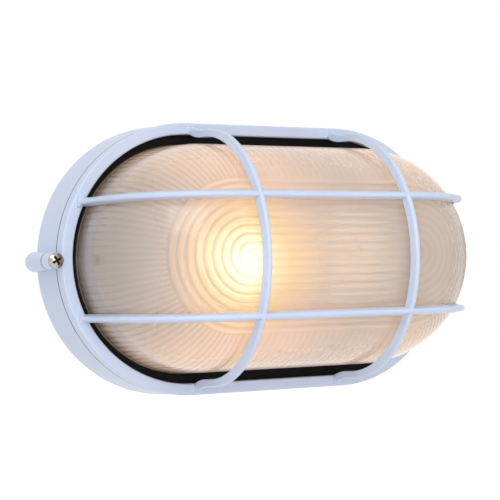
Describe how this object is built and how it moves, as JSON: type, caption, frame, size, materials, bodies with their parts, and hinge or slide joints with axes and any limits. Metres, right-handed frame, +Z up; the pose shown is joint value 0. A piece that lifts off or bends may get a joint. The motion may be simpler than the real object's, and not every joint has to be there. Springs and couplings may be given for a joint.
{
  "type": "bulkhead light",
  "caption": "Oval wall light with a cast body, a hinged front frame with guard bars over ribbed pressed glass, and a screw-cap lamp inside.",
  "frame": {"origin": "centre of the body's flat back, on the wall", "axes": "+X along the light to the hinge end, +Y into the wall, +Z up the wall; the light faces -Y"},
  "size_m": [0.2659, 0.12, 0.1528],
  "materials": {
    "white_paint": "stoved white enamel on cast aluminium",
    "pressed_glass": "satin pressed glass",
    "black_rubber": "matt moulded rubber",
    "plated_steel": "bright nickel plate",
    "zinc_steel": "zinc plated sheet",
    "brass": "plain brass",
    "porcelain": "white glazed porcelain",
    "opal_lamp": "opal glass bulb with a metal screw cap",
    "nylon": "natural nylon",
    "brown_lead": "brown insulation",
    "blue_lead": "blue insulation"
  },
  "bodies": {
    "base": {"base_casting": "white_paint", "cable_grommet": "black_rubber", "hinge_pin": "zinc_steel", "lamp_bulb": "opal_lamp", "lampholder_body": "porcelain", "lampholder_shell": "brass", "lampholder_contact": "brass", "lampholder_screws": "zinc_steel", "lampholder_bracket": "zinc_steel", "bracket_screws": "zinc_steel", "terminal_block": "nylon", "terminal_inserts": "brass", "terminal_screws": "brass", "terminal_fixing": "zinc_steel", "earth_screw": "brass", "earth_washer": "brass", "live_lead": "brown_lead", "neutral_lead": "blue_lead"},
    "front": {"front_frame": "white_paint", "glass_diffuser": "pressed_glass", "glass_gasket": "black_rubber"},
    "screw": {"closing_screw": "plated_steel", "screw_retainer": "nylon"}
  },
  "joints": [
    {"name": "front_hinge", "type": "hinge", "parent": "base", "child": "front", "pos_m": [0.129, -0.024, 0], "axis": [0, 0, 1], "range_deg": [0, 110]},
    {"name": "screw_turn", "type": "hinge", "parent": "front", "child": "screw", "pos_m": [-0.1269, -0.0355, 0], "axis": [0, 1, 0], "continuous": true}
  ]
}
